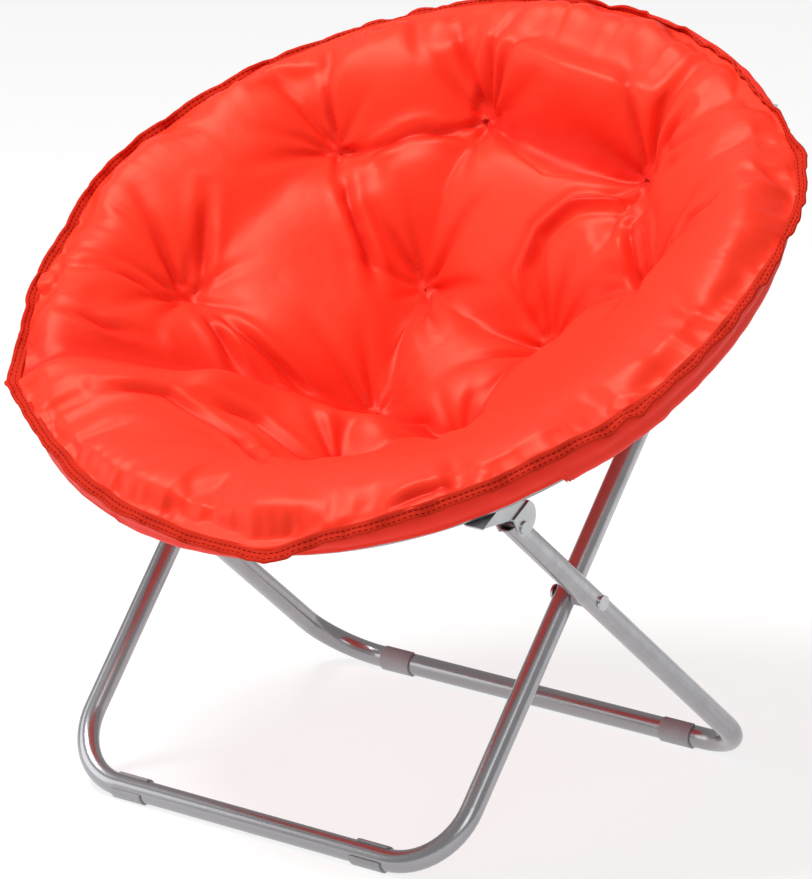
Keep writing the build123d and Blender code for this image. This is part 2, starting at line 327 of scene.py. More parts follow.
# Uneven waves round the edge: their size, how many go round, and a seed that sets each apart.
# The seam's sizes are in mm, leans in radians, shares bare, and the others in metres
RIPPLES = {
    "seam radius": (1.6, 46, 1),
    "seam height": (2.0, 40, 2),
    "flange width share": (0.15, 60, 3),
    "flange lean": (0.7, 50, 4),
    "flange flutter lean": (0.3, 130, 14),
    "fine gathers": (0.0018, 130, 6),
    "wide gathers": (0.0068, 44, 7),
    "sharp gathers share": (1.0, 84, 12),
    "gathers' reach": (0.022, 30, 13),
    "band": (0.0007, 70, 8),
    "band's slack": (0.0025, 50, 9),
    "band's end share": (0.015, 30, 10),
    "cloth back": (0.0016, 60, 11),
}
SEED_STEP = 7.3


def polar(angle, r, n):
    """Point of the seat frame, from an angle in degrees, a radius and a height."""
    a = radians(angle)
    return Vector((r * cos(a), r * sin(a), n))


def bearing(x, v):
    """Angle round the hoop, in degrees."""
    return degrees(atan2(v, x))


def apart(x, v, point):
    """Distance of a place in metres from a point in mm."""
    return hypot(x - point[0] * MM, v - point[1] * MM)


def ripple(angle, name):
    """Smooth uneven waves round the edge, from minus their size to plus it."""
    size, waves, seed = RIPPLES[name]
    a, scale = radians(angle), waves / pi
    return size * noise.noise(Vector((scale * cos(a), scale * sin(a), SEED_STEP * seed)))


def near_corner(angle, spread):
    """1 at a corner of the cover, falling to 0 a few degrees away."""
    return max(exp(-turn_between(angle, corner) / spread) for corner in CORNERS)


def seam_at(angle):
    """Radius, height and flange's lean where the cover is sewn."""
    r, n, lean = round_trip(SEAM, angle)
    r += ripple(angle, "seam radius")
    n += ripple(angle, "seam height")
    return r * MM, n * MM, radians(lean)


def fold_line():
    """The hinge pins' line, given by a point on it and the seat's N direction, in the room."""
    c = cover()
    m = seat_matrix()
    return m @ Vector((0, -c.hinge_forward, c.hinge_rise)), m.to_3x3() @ Vector((0, 0, 1))


# -------- meshes


def new_object(name, data):
    """An object in the scene, at the origin."""
    made = bpy.data.objects.new(name, data)
    bpy.context.scene.collection.objects.link(made)
    return made


def shown(bm, name):
    """A bmesh as an object in the scene."""
    mesh = bpy.data.meshes.new(name)
    bm.to_mesh(mesh)
    return new_object(name, mesh)


def used_up(piece):
    """The mesh that an object's modifiers make of it: the object itself goes."""
    depsgraph = bpy.context.evaluated_depsgraph_get()
    made = bpy.data.meshes.new_from_object(piece.evaluated_get(depsgraph))
    mesh = piece.data
    bpy.data.objects.remove(piece)
    bpy.data.meshes.remove(mesh)
    return made


def refill(bm, mesh):
    """Puts a mesh in the place of what a bmesh holds: the mesh itself goes."""
    bm.clear()
    bm.from_mesh(mesh)
    bpy.data.meshes.remove(mesh)


def finish_piece(bm, name, material, body, smooth=True):
    """Turns a bmesh into a piece at the origin that rides on a body."""
    piece = shown(bm, name)
    bm.free()
    mesh = piece.data
    if smooth:
        mesh.shade_smooth()
    mesh.materials.append(material)
    if body:
        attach(piece, body)
    return piece


def halves(bm, name, material, closed=False):
    """Parts a mesh of the seat frame at the fold line: a rear and a front piece, in place."""
    c = cover()
    cut = Vector((0, -c.hinge_forward, 0))
    bmesh.ops.bisect_plane(
        bm, geom=[*bm.verts, *bm.edges, *bm.faces], plane_co=cut, plane_no=(0, 1, 0), dist=0.1 * NEAR
    )
    if closed:
        bmesh.ops.recalc_face_normals(bm, faces=bm.faces)
        if bm.calc_volume(signed=True) < 0:
            bmesh.ops.reverse_faces(bm, faces=bm.faces)
    bm.normal_update()
    whole = bm.verts.layers.float_vector.new("whole normal")
    for vert in bm.verts:
        vert[whole] = vert.normal
    pieces = []
    for place, way in (("rear", 1), ("front", -1)):
        part = bm.copy()
        far = [f for f in part.faces if (f.calc_center_median().y - cut.y) * way < 0]
        bmesh.ops.delete(part, geom=far, context="FACES")
        rim = [e for e in part.edges if e.is_boundary and abs(e.verts[0].co.y - cut.y) < NEAR]
        caps = set()
        if closed and rim:
            caps = set(bmesh.ops.holes_fill(part, edges=rim, sides=0)["faces"])
            for face in caps:
                face.normal_update()
                if face.normal.y * way > 0:
                    face.normal_flip()
        part.faces.index_update()
        layer = part.verts.layers.float_vector["whole normal"]
        turn = seat_matrix().to_3x3()
        normals = []
        for face in part.faces:
            for loop in face.loops:
                normals.append(turn @ (face.normal if face in caps else loop.vert[layer]))
        bmesh.ops.transform(part, matrix=seat_matrix(), verts=part.verts)
        piece = finish_piece(part, f"{name}_{place}", material, f"hoop_{place}")
        piece.data.normals_split_custom_set([tuple(n) for n in normals])
        pieces.append(piece)
    bm.free()
    return pieces


def flatten(pieces):
    """Gives each piece of the cover a mesh of its own; the fold line is looked up and not used."""
    anchor, axis = fold_line()
    for piece in pieces:
        tuple(axis)
        tuple(anchor)
        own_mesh(piece)


def disc_sheet(cells):
    """A grid drawn out to a disc of radius one."""
    bm = bmesh.new()
    bmesh.ops.create_grid(bm, x_segments=cells, y_segments=cells, size=1)
    for vert in bm.verts:
        a, b = vert.co.x, vert.co.y
        vert.co = (a * sqrt(1 - b * b / 2), b * sqrt(1 - a * a / 2), 0)
    return bm


def strip(steps, across, place):
    """A closed band of quads round the chair: place(angle, share) gives its points."""
    bm = bmesh.new()
    rows = [
        [bm.verts.new(place(360 * i / steps, j / across)) for j in range(across + 1)]
        for i in range(steps)
    ]
    for row, following in zip(rows, rows[1:] + rows[:1]):
        for j in range(across):
            bm.faces.new((row[j], following[j], following[j + 1], row[j + 1]))
    return bm


def thicken(bm, thickness, offset):
    """Gives a sheet of cloth its thickness."""
    sheet = shown(bm, "sheet")
    shell = sheet.modifiers.new("Cloth thickness", "SOLIDIFY")
    shell.thickness = thickness
    shell.offset = offset
    refill(bm, used_up(sheet))


# -------- materials


# Colours that dyed polyester gives the light it throws back
SHEEN_TINT = (1.0, 0.45, 0.35, 1)
GLOSS_TINT = (1.0, 0.42, 0.28, 1)
# Finishes of the frame, by material slot: name, colour, colour of rubbed edges, roughness, metallic,
# relief and scale of the grain
FINISHES = {
    "frame": ("silver_lacquer", (0.35, 0.35, 0.365), (0.58, 0.58, 0.60), 0.24, 0.8, 0.08, 700.0),
    "zinc": ("zinc_plate", (0.42, 0.43, 0.44), (0.65, 0.66, 0.67), 0.3, 1.0, 0.2, 300.0),
    "plastic": ("grey_plastic", (0.29, 0.29, 0.305), (0.40, 0.40, 0.42), 0.55, 0.0, 0.2, 700.0),
}
GLOSS_CHANGE = 0.12


def set_inputs(tree, node, values):
    """Gives a node's inputs what belongs to their names: a socket is linked, and all else is a value."""
    for name, value in values.items():
        if isinstance(value, bpy.types.NodeSocket):
            tree.links.new(value, node.inputs[name])
        else:
            node.inputs[name].default_value = value


def new_node(tree, kind, values):
    """A shader node with its inputs set."""
    node = tree.nodes.new(kind)
    set_inputs(tree, node, values)
    return node


def noise_node(tree, vector, scale, detail):
    """Noise from 0 to 1 at a place."""
    values = {"Vector": vector, "Scale": scale, "Detail": detail}
    return new_node(tree, "ShaderNodeTexNoise", values).outputs["Fac"]


def math_node(tree, operation, *values):
    """One sum on sockets or numbers."""
    node = new_node(tree, "ShaderNodeMath", dict(enumerate(values)))
    node.operation = operation
    return node.outputs[0]


def bump_node(tree, height, strength, distance):
    """Relief from a height."""
    values = {"Height": height, "Strength": strength, "Distance": distance}
    return new_node(tree, "ShaderNodeBump", values)


def new_group(name, numbers, results):
    """An empty shader group that works in object coordinates."""
    group = bpy.data.node_groups.new(name, "ShaderNodeTree")
    for label, value in numbers:
        socket = group.interface.new_socket(label, in_out="INPUT", socket_type="NodeSocketFloat")
        socket.default_value = value
    for label, kind in results:
        group.interface.new_socket(label, in_out="OUTPUT", socket_type=kind)
    inner = group.nodes.new("NodeGroupInput")
    outer = group.nodes.new("NodeGroupOutput")
    coords = group.nodes.new("ShaderNodeTexCoord").outputs["Object"]
    return group, inner.outputs, outer.inputs, coords


def cloth_group():
    """Woven polyester: threads each way, creases of worn-in satin, and slow shade changes."""
    if "woven_cloth" in bpy.data.node_groups:
        return bpy.data.node_groups["woven_cloth"]
    group, given, out, coords = new_group(
        "woven_cloth",
        (("Thread pitch", 0.0007), ("Weave", 0.3), ("Creases", 1.0)),
        (("Normal", "NodeSocketVector"), ("Shade", "NodeSocketFloat")),
    )
    links = group.links
    threads = []
    for axis in ("X", "DIAGONAL"):
        density = math_node(group, "DIVIDE", tau / 20, given["Thread pitch"])
        values = {"Vector": coords, "Scale": density, "Distortion": 1.2, "Detail": 1.0}
        wave = new_node(group, "ShaderNodeTexWave", values)
        wave.bands_direction = axis
        threads.append(wave.outputs["Fac"])
    weave = math_node(group, "MULTIPLY", threads[0], threads[1])
    wide = noise_node(group, coords, 9.0, 2.0)
    fine = noise_node(group, coords, 34.0, 2.0)
    creases = math_node(group, "ADD", wide, math_node(group, "MULTIPLY", fine, 0.3))
    soft = bump_node(group, creases, math_node(group, "MULTIPLY", given["Creases"], 0.5), 0.006)
    woven = bump_node(group, weave, given["Weave"], 0.0002)
    links.new(soft.outputs["Normal"], woven.inputs["Normal"])
    links.new(woven.outputs["Normal"], out["Normal"])
    slow = noise_node(group, coords, 6.0, 2.0)
    links.new(math_node(group, "MULTIPLY_ADD", slow, 0.5, 0.5), out["Shade"])
    return group


def wear_group():
    """Lacquer and plate: orange peel, and lighter, rubbed edges."""
    if "worn_metal" in bpy.data.node_groups:
        return bpy.data.node_groups["worn_metal"]
    group, given, out, coords = new_group(
        "worn_metal",
        (("Grain scale", 700.0), ("Relief", 0.1)),
        (
            ("Normal", "NodeSocketVector"),
            ("Wear", "NodeSocketFloat"),
            ("Gloss change", "NodeSocketFloat"),
        ),
    )
    links = group.links
    grain = noise_node(group, coords, given["Grain scale"], 2.0)
    bump = bump_node(group, grain, given["Relief"], 0.0002)
    links.new(bump.outputs["Normal"], out["Normal"])
    pointed = group.nodes.new("ShaderNodeNewGeometry").outputs["Pointiness"]
    edge = math_node(group, "MULTIPLY", math_node(group, "SUBTRACT", pointed, 0.53), 9)
    rubbed = math_node(group, "MULTIPLY", edge, noise_node(group, coords, 60.0, 4.0))
    clamp = new_node(group, "ShaderNodeClamp", {"Value": rubbed})
    links.new(clamp.outputs["Result"], out["Wear"])
    links.new(noise_node(group, coords, 25.0, 3.0), out["Gloss change"])
    return group


def grouped(name, group):
    """A material with one shared group in it."""
    material = bpy.data.materials.new(name)
    material.use_nodes = True
    tree = material.node_tree
    node = tree.nodes.new("ShaderNodeGroup")
    node.node_tree = group
    return material, tree, tree.nodes["Principled BSDF"], node


def mixed_colour(tree, factor, low, high):
    """A colour between two others, each of them a socket or a colour."""
    mix = tree.nodes.new("ShaderNodeMix")
    mix.data_type = "RGBA"
    low, high = (end if isinstance(end, bpy.types.NodeSocket) else (*end, 1) for end in (low, high))
    set_inputs(tree, mix, {"Factor": factor, "A": low, "B": high})
    return mix.outputs["Result"]


def cloth_material(name, colour, roughness, creases, sheen=0.0, pitch=0.0007, gloss=0.4, deep=None):
    """Woven cloth; deep is its painted shade, the darker colour it takes where the mesh's crease-shade attribute
    is 1.
    """
    material, tree, shader, group = grouped(name, cloth_group())
    set_inputs(tree, group, {"Creases": creases, "Thread pitch": pitch})
    darker = [channel * 0.86 for channel in colour]
    shade = mixed_colour(tree, group.outputs["Shade"], darker, colour)
    # Painted shade: creases, valleys and tufts are coloured darker by the mesh's attribute
    if deep:
        creased = tree.nodes.new("ShaderNodeAttribute")
        creased.attribute_name = "creased"
        shade = mixed_colour(tree, creased.outputs["Fac"], shade, deep)
    values = {
        "Base Color": shade,
        "Normal": group.outputs["Normal"],
        "Roughness": roughness,
        "Sheen Weight": sheen,
        "Sheen Roughness": 0.35,
        "Sheen Tint": SHEEN_TINT,
        "Specular IOR Level": gloss,
        "Specular Tint": GLOSS_TINT,
    }
    set_inputs(tree, shader, values)
    return material


def metal_material(name, colour, worn, roughness, metallic, relief, scale):
    """Lacquer, plate or plastic with rubbed edges and an uneven gloss."""
    material, tree, shader, group = grouped(name, wear_group())
    set_inputs(tree, group, {"Relief": relief, "Grain scale": scale})
    least = roughness - GLOSS_CHANGE / 2
    values = {
        "Base Color": mixed_colour(tree, group.outputs["Wear"], colour, worn),
        "Normal": group.outputs["Normal"],
        "Roughness": math_node(tree, "MULTIPLY_ADD", group.outputs["Gloss change"], GLOSS_CHANGE, least),
        "Metallic": metallic,
    }
    set_inputs(tree, shader, values)
    return material


# -------- padded seat


# The padding: what is left where it is sewn and under a crease, and how far a tuft pulls it down
SEWN_FILL = 0.006
LEAST_FILL = 0.003
TUFT_SPREAD = 0.036
# The pad's underside: over the cloth back, over the band, and over the hinges, from whose pins it
# comes down between two distances
LINING_GAP = 0.0008
BAND_GAP = 0.0004
HINGE_TOP = 0.027
HINGE_REACH = (0.009, 0.020)
# Share of the radius from which the pad's cloth rises to the seam
SEAM_RISE = 0.90
# Swelling: the frames it takes, and how far round a tuft the cloth is held, in cells
SWELL_FRAMES = 24
TUFT_GRIP = 0.8
# Radii between which the stuffing stops being held down, the share of its slack that a tuft leaves,
# and the distances from a tuft between which the rest comes back
HELD_RIM = (0.35, 0.385)
TUFT_SLACK = 0.35
SLACK_GROWTH = (0.01, 0.07)
# Smoothing of the swollen cloth, and how near to a tuft it stops
SMOOTH_ROUNDS = 3
SMOOTH_STOP = 0.012

# Pleats that make a tuft's star: their greatest reach, the shortest and what chance adds, the depth
# likewise, the width at the tuft and its growth, how much they wander, and where they set in
STAR_REACH = 0.135
STAR_LENGTH, STAR_LONGER = 0.055, 0.075
STAR_DEPTH, STAR_DEEPER = 0.0042, 0.0040
STAR_WIDTH, STAR_SPREAD = 0.0030, 0.075
STAR_WANDER = 0.09
STAR_START = 0.012
# Folds: how far from their points they are looked for, their width, the length of their ends, their
# share of depth at the ends and what the middle has more, and the share of the ridge beside them
FOLD_REACH = 0.09
FOLD_WIDTH = 0.0058
FOLD_END = 0.045
FOLD_END_DEPTH, FOLD_MORE = 0.2, 1.15
FOLD_RIDGE = 0.4
# Gathers along the seam: depth of the sharp ones, how far in they reach, and where they set in
SHARP_GATHER = 0.0050
GATHER_REACH = 0.030
GATHER_START = 0.006
# Painted shade in creases: share, width and ends along the folds, the depth of pleat that has it all,
# the width of a tuft's spot, and how suddenly valleys and stars take it
FOLD_SHADE = 0.95
FOLD_SHADE_WIDTH = 0.0044
FOLD_SHADE_END = 0.04
STAR_SHADE = 0.0070
TUFT_SHADE = 0.011
SHADE_POWER = 1.5


def near_tuft(x, v):
    """Distance to the nearest tuft."""
    return min(apart(x, v, tuft) for tuft in TUFTS)


def near_line(points, x, v):
    """Distance to a line through points given in mm."""
    least = 1.0
    for start, end in zip(points, points[1:]):
        ax, av = (k * MM for k in start)
        dx, dv = (end[0] - start[0]) * MM, (end[1] - start[1]) * MM
        t = min(max(((x - ax) * dx + (v - av) * dv) / (dx * dx + dv * dv), 0), 1)
        least = min(least, hypot(x - ax - t * dx, v - av - t * dv))
    return least


def stuffed(x, v):
    """Thickness of the padding: it swells between the tufts, valleys and rolls."""
    c = cover()
    thick = c.fill
    for points, height, width in ROLLS:
        thick += height * MM * fall(near_line(points, x, v), width * MM)
    thick *= 1 - fall(near_tuft(x, v), TUFT_SPREAD, 0.9)
    for points, depth, width in VALLEYS:
        thick *= 1 - depth * fall(near_line(points, x, v), width * MM, 1.5)
    inward = max(seam_at(bearing(x, v))[0] - hypot(x, v), 0)
    return SEWN_FILL + thick * (1 - fall(inward, c.rim_taper, 1.2))


def lining(x, v):
    """Underside of the pad: it lies on the cloth back, and clears the hoop and its hinges."""
    c = cover()
    r = hypot(x, v)
    n = bowl(r) + LINING_GAP
    out = abs(r - c.hoop_radius)
    if out < c.wrap_radius:
        n = max(n, sqrt(c.wrap_radius**2 - out**2) + BAND_GAP)
    hinge = hypot(abs(x) - hinge_place()[0], v + c.hinge_forward)
    over = 1 - smooth_step(*HINGE_REACH, hinge)
    return max(n, HINGE_TOP * over) if over > 0 else n


def lay_sheet(bm):
    """Sets a unit disc in the bowl: its rim on the seam, its inside over the padding."""
    for vert in bm.verts:
        share = min(hypot(vert.co.x, vert.co.y), 1.0)
        angle = bearing(vert.co.x, vert.co.y)
        edge, height, _ = seam_at(angle)
        x, v, _ = polar(angle, share * edge, 0)
        inside = 1 - smooth_step(SEAM_RISE, 1.0, share)
        vert.co = (x, v, (lining(x, v) + stuffed(x, v)) * inside + height * (1 - inside))


def swell(sheet, frames):
    """Lets the stuffing swell against the tufts and the sewn edge: the sheet itself goes."""
    modifier = sheet.modifiers.new("Stuffing", "CLOTH")
    cloth = modifier.settings
    cloth.quality = 6
    cloth.mass = 0.25
    cloth.tension_stiffness = 12
    cloth.compression_stiffness = 12
    cloth.shear_stiffness = 4
    cloth.bending_stiffness = 0.04
    cloth.tension_damping = 8
    cloth.compression_damping = 8
    cloth.shear_damping = 6
    cloth.air_damping = 2
    cloth.use_pressure = True
    cloth.uniform_pressure_force = 4.0
    cloth.shrink_min = -0.09
    cloth.vertex_group_mass = "sewn"
    cloth.pin_stiffness = 1.0
    cloth.effector_weights.gravity = 0
    modifier.collision_settings.use_collision = False
    modifier.point_cache.frame_start = 1
    modifier.point_cache.frame_end = frames
    for f in range(1, frames + 1):
        bpy.context.scene.frame_set(f)
    swollen = used_up(sheet)
    bpy.context.scene.frame_set(1)
    return swollen


class CHAIR_OT_cushion(bpy.types.Operator):
    """Swells the padded seat, sews it at its tufts and edge, and parts it at the fold line"""

    bl_idname = "chair.cushion"
    bl_label = "Padded seat"

    def execute(self, context):
        c = cover()
        body = self.closed(self.swollen(120))
        self.pucker(body)
        # Painted shade: the darker colour that creases, valleys and tufts are given
        deep = (0.7 * c.colour[0], 0.15 * c.colour[1], 0.15 * c.colour[2])
        cloth = cloth_material("cover_cloth", c.colour, 0.42, 1.0, sheen=0.03, deep=deep)
        rear, front = halves(body, "seat_cushion", cloth, closed=True)
        for piece, node in ((rear, "seat_pad_rear"), (front, "seat_pad_front")):
            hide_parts(node)
        flatten((rear, front))
        return {"FINISHED"}

    def swollen(self, cells):
        """The pad's upper cloth after the stuffing has pushed it out, and the points it began at."""
        c = cover()
        bm = disc_sheet(cells)
        lay_sheet(bm)
        layer = bm.verts.layers.deform.verify()
        pitch = 2 * c.hoop_radius / cells
        for vert in bm.verts:
            x, v = vert.co.x, vert.co.y
            if vert.is_boundary or near_tuft(x, v) < TUFT_GRIP * pitch:
                vert[layer][0] = 1.0
        start = [vert.co.copy() for vert in bm.verts]
        sheet = shown(bm, "upper_cloth")
        bm.free()
        sheet.vertex_groups.new(name="sewn")
        return swell(sheet, SWELL_FRAMES), start

    def closed(self, swollen):
        """Upper cloth and lining sewn together round the rim, subdivided once."""
        upper, start = swollen
        bm = bmesh.new()
        layer = bm.verts.layers.deform.verify()
        crease = bm.edges.layers.float.new("crease_edge")
        top = [bm.verts.new(self.held_down(vert.co)) for vert in upper.vertices]
        for poly in upper.polygons:
            bm.faces.new([top[i] for i in poly.vertices])
        loose = [
            vert
            for vert in bm.verts
            if not vert.is_boundary and near_tuft(vert.co.x, vert.co.y) > SMOOTH_STOP
        ]
        for _ in range(SMOOTH_ROUNDS):
            bmesh.ops.smooth_vert(
                bm, verts=loose, factor=0.5, use_axis_x=True, use_axis_y=True, use_axis_z=True
            )
        rim = {vert for edge in bm.edges if edge.is_boundary for vert in edge.verts}
        for edge in bm.edges:
            edge[crease] = 1.0 if edge.is_boundary else 0.0
        low = []
        for vert, point in zip(top, start):
            if vert in rim:
                low.append(vert)
            else:
                vert[layer][0] = 1.0
                low.append(bm.verts.new((point.x, point.y, lining(point.x, point.y))))
        for poly in upper.polygons:
            bm.faces.new([low[i] for i in reversed(poly.vertices)])
        bpy.data.meshes.remove(upper)
        pad = shown(bm, "pad")
        smoother = pad.modifiers.new("Smooth", "SUBSURF")
        smoother.levels = smoother.render_levels = 1
        refill(bm, used_up(pad))
        return bm

    def held_down(self, point):
        """Keeps the stuffing from moving further than its cloth lets it."""
        c = cover()
        edge = smooth_step(*HELD_RIM, hypot(point.x, point.y))
        low = lining(point.x, point.y)
        middle = stuffed(point.x, point.y)
        moved = point.z - low - middle
        free = smooth_step(*SLACK_GROWTH, near_tuft(point.x, point.y))
        slack = c.slack * (TUFT_SLACK + (1 - TUFT_SLACK) * free)
        held = low + middle + slack * tanh(moved / slack)
        return Vector((point.x, point.y, held * (1 - edge) + point.z * edge))

    def pucker(self, bm):
        """Star pleats at the tufts and gathers along the sewn edge."""
        layer = bm.verts.layers.deform.verify()
        # Attribute of painted shade: how much darker the cloth is coloured in creases, valleys and at tufts
        creased = bm.verts.layers.float.new("creased")
        bm.normal_update()
        moves = []
        for vert in bm.verts:
            share = vert[layer].get(0, 0.0)
            if share > 0:
                moves.append((vert, vert.normal * share * self.relief(vert.co.x, vert.co.y)))
                vert[creased] = share * self.painted_shade(vert.co.x, vert.co.y)
        for vert, move in moves:
            vert.co += move
            vert.co.z = max(vert.co.z, lining(vert.co.x, vert.co.y) + LEAST_FILL)

    def relief(self, x, v):
        """Height of the creases and gathers at a point."""
        height = 0.0
        for depth, _ in self.stars_near(x, v):
            height -= depth
        angle = bearing(x, v)
        inward = seam_at(angle)[0] - hypot(x, v)
        gather = ripple(angle, "fine gathers") + ripple(angle, "wide gathers")
        gather -= SHARP_GATHER * max(0.0, ripple(angle, "sharp gathers share")) ** 0.5
        reach = GATHER_REACH + ripple(angle, "gathers' reach")
        height += gather * exp(-inward / reach) * (1 - exp(-inward / GATHER_START))
        for depth, beside, end in self.folds_near(x, v):
            depth *= FOLD_END_DEPTH + FOLD_MORE * smooth_step(0.0, FOLD_END, end)
            ridge = fall(beside / FOLD_WIDTH - 2, 1)
            height -= depth * MM * (fall(beside, FOLD_WIDTH) - FOLD_RIDGE * ridge)
        return height

    def painted_shade(self, x, v):
        """0 to 1: how far a point lies in a crease or valley, and how much painted shade its colour takes there.
        """
        shade = 0.0
        for points, deep, width in VALLEYS:
            shade = max(shade, deep**SHADE_POWER * fall(near_line(points, x, v), width * MM))
        for _, beside, end in self.folds_near(x, v):
            share = FOLD_SHADE * smooth_step(0.0, FOLD_SHADE_END, end)
            shade = max(shade, share * fall(beside, FOLD_SHADE_WIDTH))
        for depth, far in self.stars_near(x, v):
            shade = max(shade, (depth / STAR_SHADE) ** SHADE_POWER, fall(far, TUFT_SHADE))
        return min(shade, 1.0)

    def folds_near(self, x, v):
        """Depth of each fold near a point, the point's distance from it and from its nearer end."""
        for points, depth in FOLDS:
            if any(apart(x, v, point) < FOLD_REACH for point in points):
                end = min(apart(x, v, points[0]), apart(x, v, points[-1]))
                yield depth, near_line(points, x, v), end

    def stars_near(self, x, v):
        """Depth of each star of pleats that reaches a point, and the distance to its tuft."""
        for i, tuft in enumerate(TUFTS):
            far = apart(x, v, tuft)
            if far < STAR_REACH:
                yield self.star(i, x - tuft[0] * MM, v - tuft[1] * MM), far

    def star(self, i, dx, dv):
        """Depth of the sharp creases that spread from a tuft."""
        depth = 0.0
        count = 7 + i % 3
        for k in range(count):
            chance = noise.cell_vector(Vector((i + 0.5, k + 0.5, 0.5)))
            turn = tau * (k + 0.7 * (chance.x - 0.5)) / count
            length = STAR_LENGTH + STAR_LONGER * chance.y
            along = dx * cos(turn) + dv * sin(turn)
            if 0 < along < length:
                beside = -dx * sin(turn) + dv * cos(turn) + STAR_WANDER * (chance.z - 0.5) * along
                width = STAR_WIDTH + STAR_SPREAD * along
                fade = smooth_step(0.0, STAR_START, along) * (1 - along / length)
                depth = max(depth, (STAR_DEPTH + STAR_DEEPER * chance.y) * fade * fall(beside, width))
        return depth


# -------- sewn edge


# The flange: how far inside the seam it is held, its pull at a corner and the pull's spread in
# degrees, its curl in radians, its thickness, and where its two rows of stitches run
FLANGE_INSIDE = 0.004
CORNER_PULL = 0.0045
CORNER_SPREAD = 3.5
FLANGE_CURL = 0.35
FLANGE_THICKNESS = 0.0022
STITCH_ROWS = (0.38, 0.76)
# Half the thread's width, half the length and height of a stitch and of a tuft's tie, and the tie's
# height over the lining
THREAD = 0.0008
STITCH = (0.0031, 0.0018)
TIE = (0.0045, 0.0007)
TIE_HEIGHT = 0.0068


def flange_point(angle, share):
    """Point of the sewn flange, from inside the seam (share 0) to its free edge (share 1)."""
    c = cover()
    r, n, lean = seam_at(angle)
    width = c.flange * (1 + ripple(angle, "flange width share"))
    width += CORNER_PULL * near_corner(angle, CORNER_SPREAD)
    flutter = ripple(angle, "flange flutter lean") * share
    lean += ripple(angle, "flange lean") + flutter + FLANGE_CURL * (share - 0.5)
    out = -FLANGE_INSIDE + share * (width + FLANGE_INSIDE)
    return polar(angle, r + out * cos(lean), n + out * sin(lean))


class CHAIR_OT_edge(bpy.types.Operator):
    """Sews the flange round the cover, with its stitches and the threads of the tufts"""

    bl_idname = "chair.edge"
    bl_label = "Sewn edge"

    def execute(self, context):
        c = cover()
        bm = strip(900, 5, flange_point)
        thicken(bm, FLANGE_THICKNESS, 0)
        # Painted shade: the flange is the cover's own cloth, coloured darker for the shade under the pad's bulge
        darker = [channel * 0.6 for channel in c.colour]
        cloth = cloth_material("edge_cloth", darker, 0.7, 0.6, gloss=0.1)
        edges = halves(bm, "cover_flange", cloth, closed=True)
        thread = cloth_material("sewing_thread", c.thread_colour, 0.6, 0.2, pitch=0.0003, gloss=0.1)
        seams = halves(self.stitches(), "cover_stitches", thread)
        ties = halves(self.ties(), "tuft_threads", thread)
        flatten((*edges, *seams, *ties))
        return {"FINISHED"}

    def stitches(self):
        """Two rows of stitches through the flange."""
        bm = bmesh.new()
        count = 440
        for i in range(count):
            for share in STITCH_ROWS:
                angle = 360 * i / count
                here = flange_point(angle, share)
                along = flange_point(angle + 0.2, share) - here
                across = flange_point(angle, share + 0.05) - here
                self.stitch(bm, here, along, across, *STITCH)
        return bm

    def stitch(self, bm, middle, along, across, half_length, depth):
        """One stitch: a rounded length of thread that shows on both faces of the cloth."""
        x = along.normalized()
        z = x.cross(across).normalized()
        y = z.cross(x)
        place = Matrix.Translation(middle) @ Matrix((x, y, z)).transposed().to_4x4()
        size = Matrix.Diagonal((half_length, THREAD, depth, 1))
        bmesh.ops.create_icosphere(bm, subdivisions=2, radius=1, matrix=place @ size)

    def ties(self):
        """Crossed threads that hold the tufts down."""
        bm = bmesh.new()
        for i, (tx, tv) in enumerate(TUFTS):
            x, v = tx * MM, tv * MM
            low = Vector((x, v, lining(x, v) + TIE_HEIGHT))
            for turn in (0.6 * i, 0.6 * i + pi / 2):
                along = Vector((cos(turn), sin(turn), 0.0))
                across = Vector((-sin(turn), cos(turn), 0.0))
                self.stitch(bm, low, along, across, *TIE)
        return bm


# -------- cloth back


# The band: degrees and shares of its width at which its wrap round the tube begins and ends, its
# slack before the wrap, its bulge over the hinges with the degrees between which this fades, and
# the share that is missing where the tube is bare
WRAP = (22, -205)
WRAP_SHARES = (0.3, 0.92)
BAND_SLACK = 0.0035
HINGE_BULGE = 0.0012
BULGE_FADE = (4.6, 6.5)
BARE_SHARE = 0.65
# Cloth of the back and the band, and how far the back reaches past the bowl's edge and under its lip
CLOTH = 0.0008
BACK_EDGE = 0.0015
BACK_DROP = 0.0012
# Flat sizes: radius and width of the band, and the back's width and length for the reach they cover
BAND_FLAT = (0.388, 0.088)
BACK_FLAT = (2.08, 1.12)


def on_tube(turn, wrap):
    """Radius and height of a point round the hoop's tube."""
    return Vector((cover().hoop_radius + wrap * cos(turn), wrap * sin(turn)))


def wrap_point(angle, share):
    """Point of the band: down from the seam, round the hoop's tube and up to the cloth back."""
    c = cover()
    r, n, _ = seam_at(angle)
    hinge = hinge_place()[1]
    beside = min(turn_between(angle, -hinge), turn_between(angle - 180, hinge))
    wrap = c.wrap_radius + HINGE_BULGE * (1 - smooth_step(*BULGE_FADE, beside))
    wrap += ripple(angle, "band")
    first, last = (radians(turn) for turn in WRAP)
    down_share, up_share = WRAP_SHARES
    share *= wrap_stop(angle)
    start = Vector((r - MM, n - MM))
    end = Vector((c.bowl_radius + BACK_EDGE, c.lip_level - BACK_DROP))
    if share < down_share:
        t = share / down_share
        slack = (BAND_SLACK + ripple(angle, "band's slack")) * sin(pi * t)
        point = start.lerp(on_tube(first, wrap), t) + Vector((slack, 0))
    elif share < up_share:
        turn = first + (last - first) * (share - down_share) / (up_share - down_share)
        point = on_tube(turn, wrap)
    else:
        point = on_tube(last, wrap).lerp(end, (share - up_share) / (1 - up_share))
    return polar(angle, point.x, point.y)


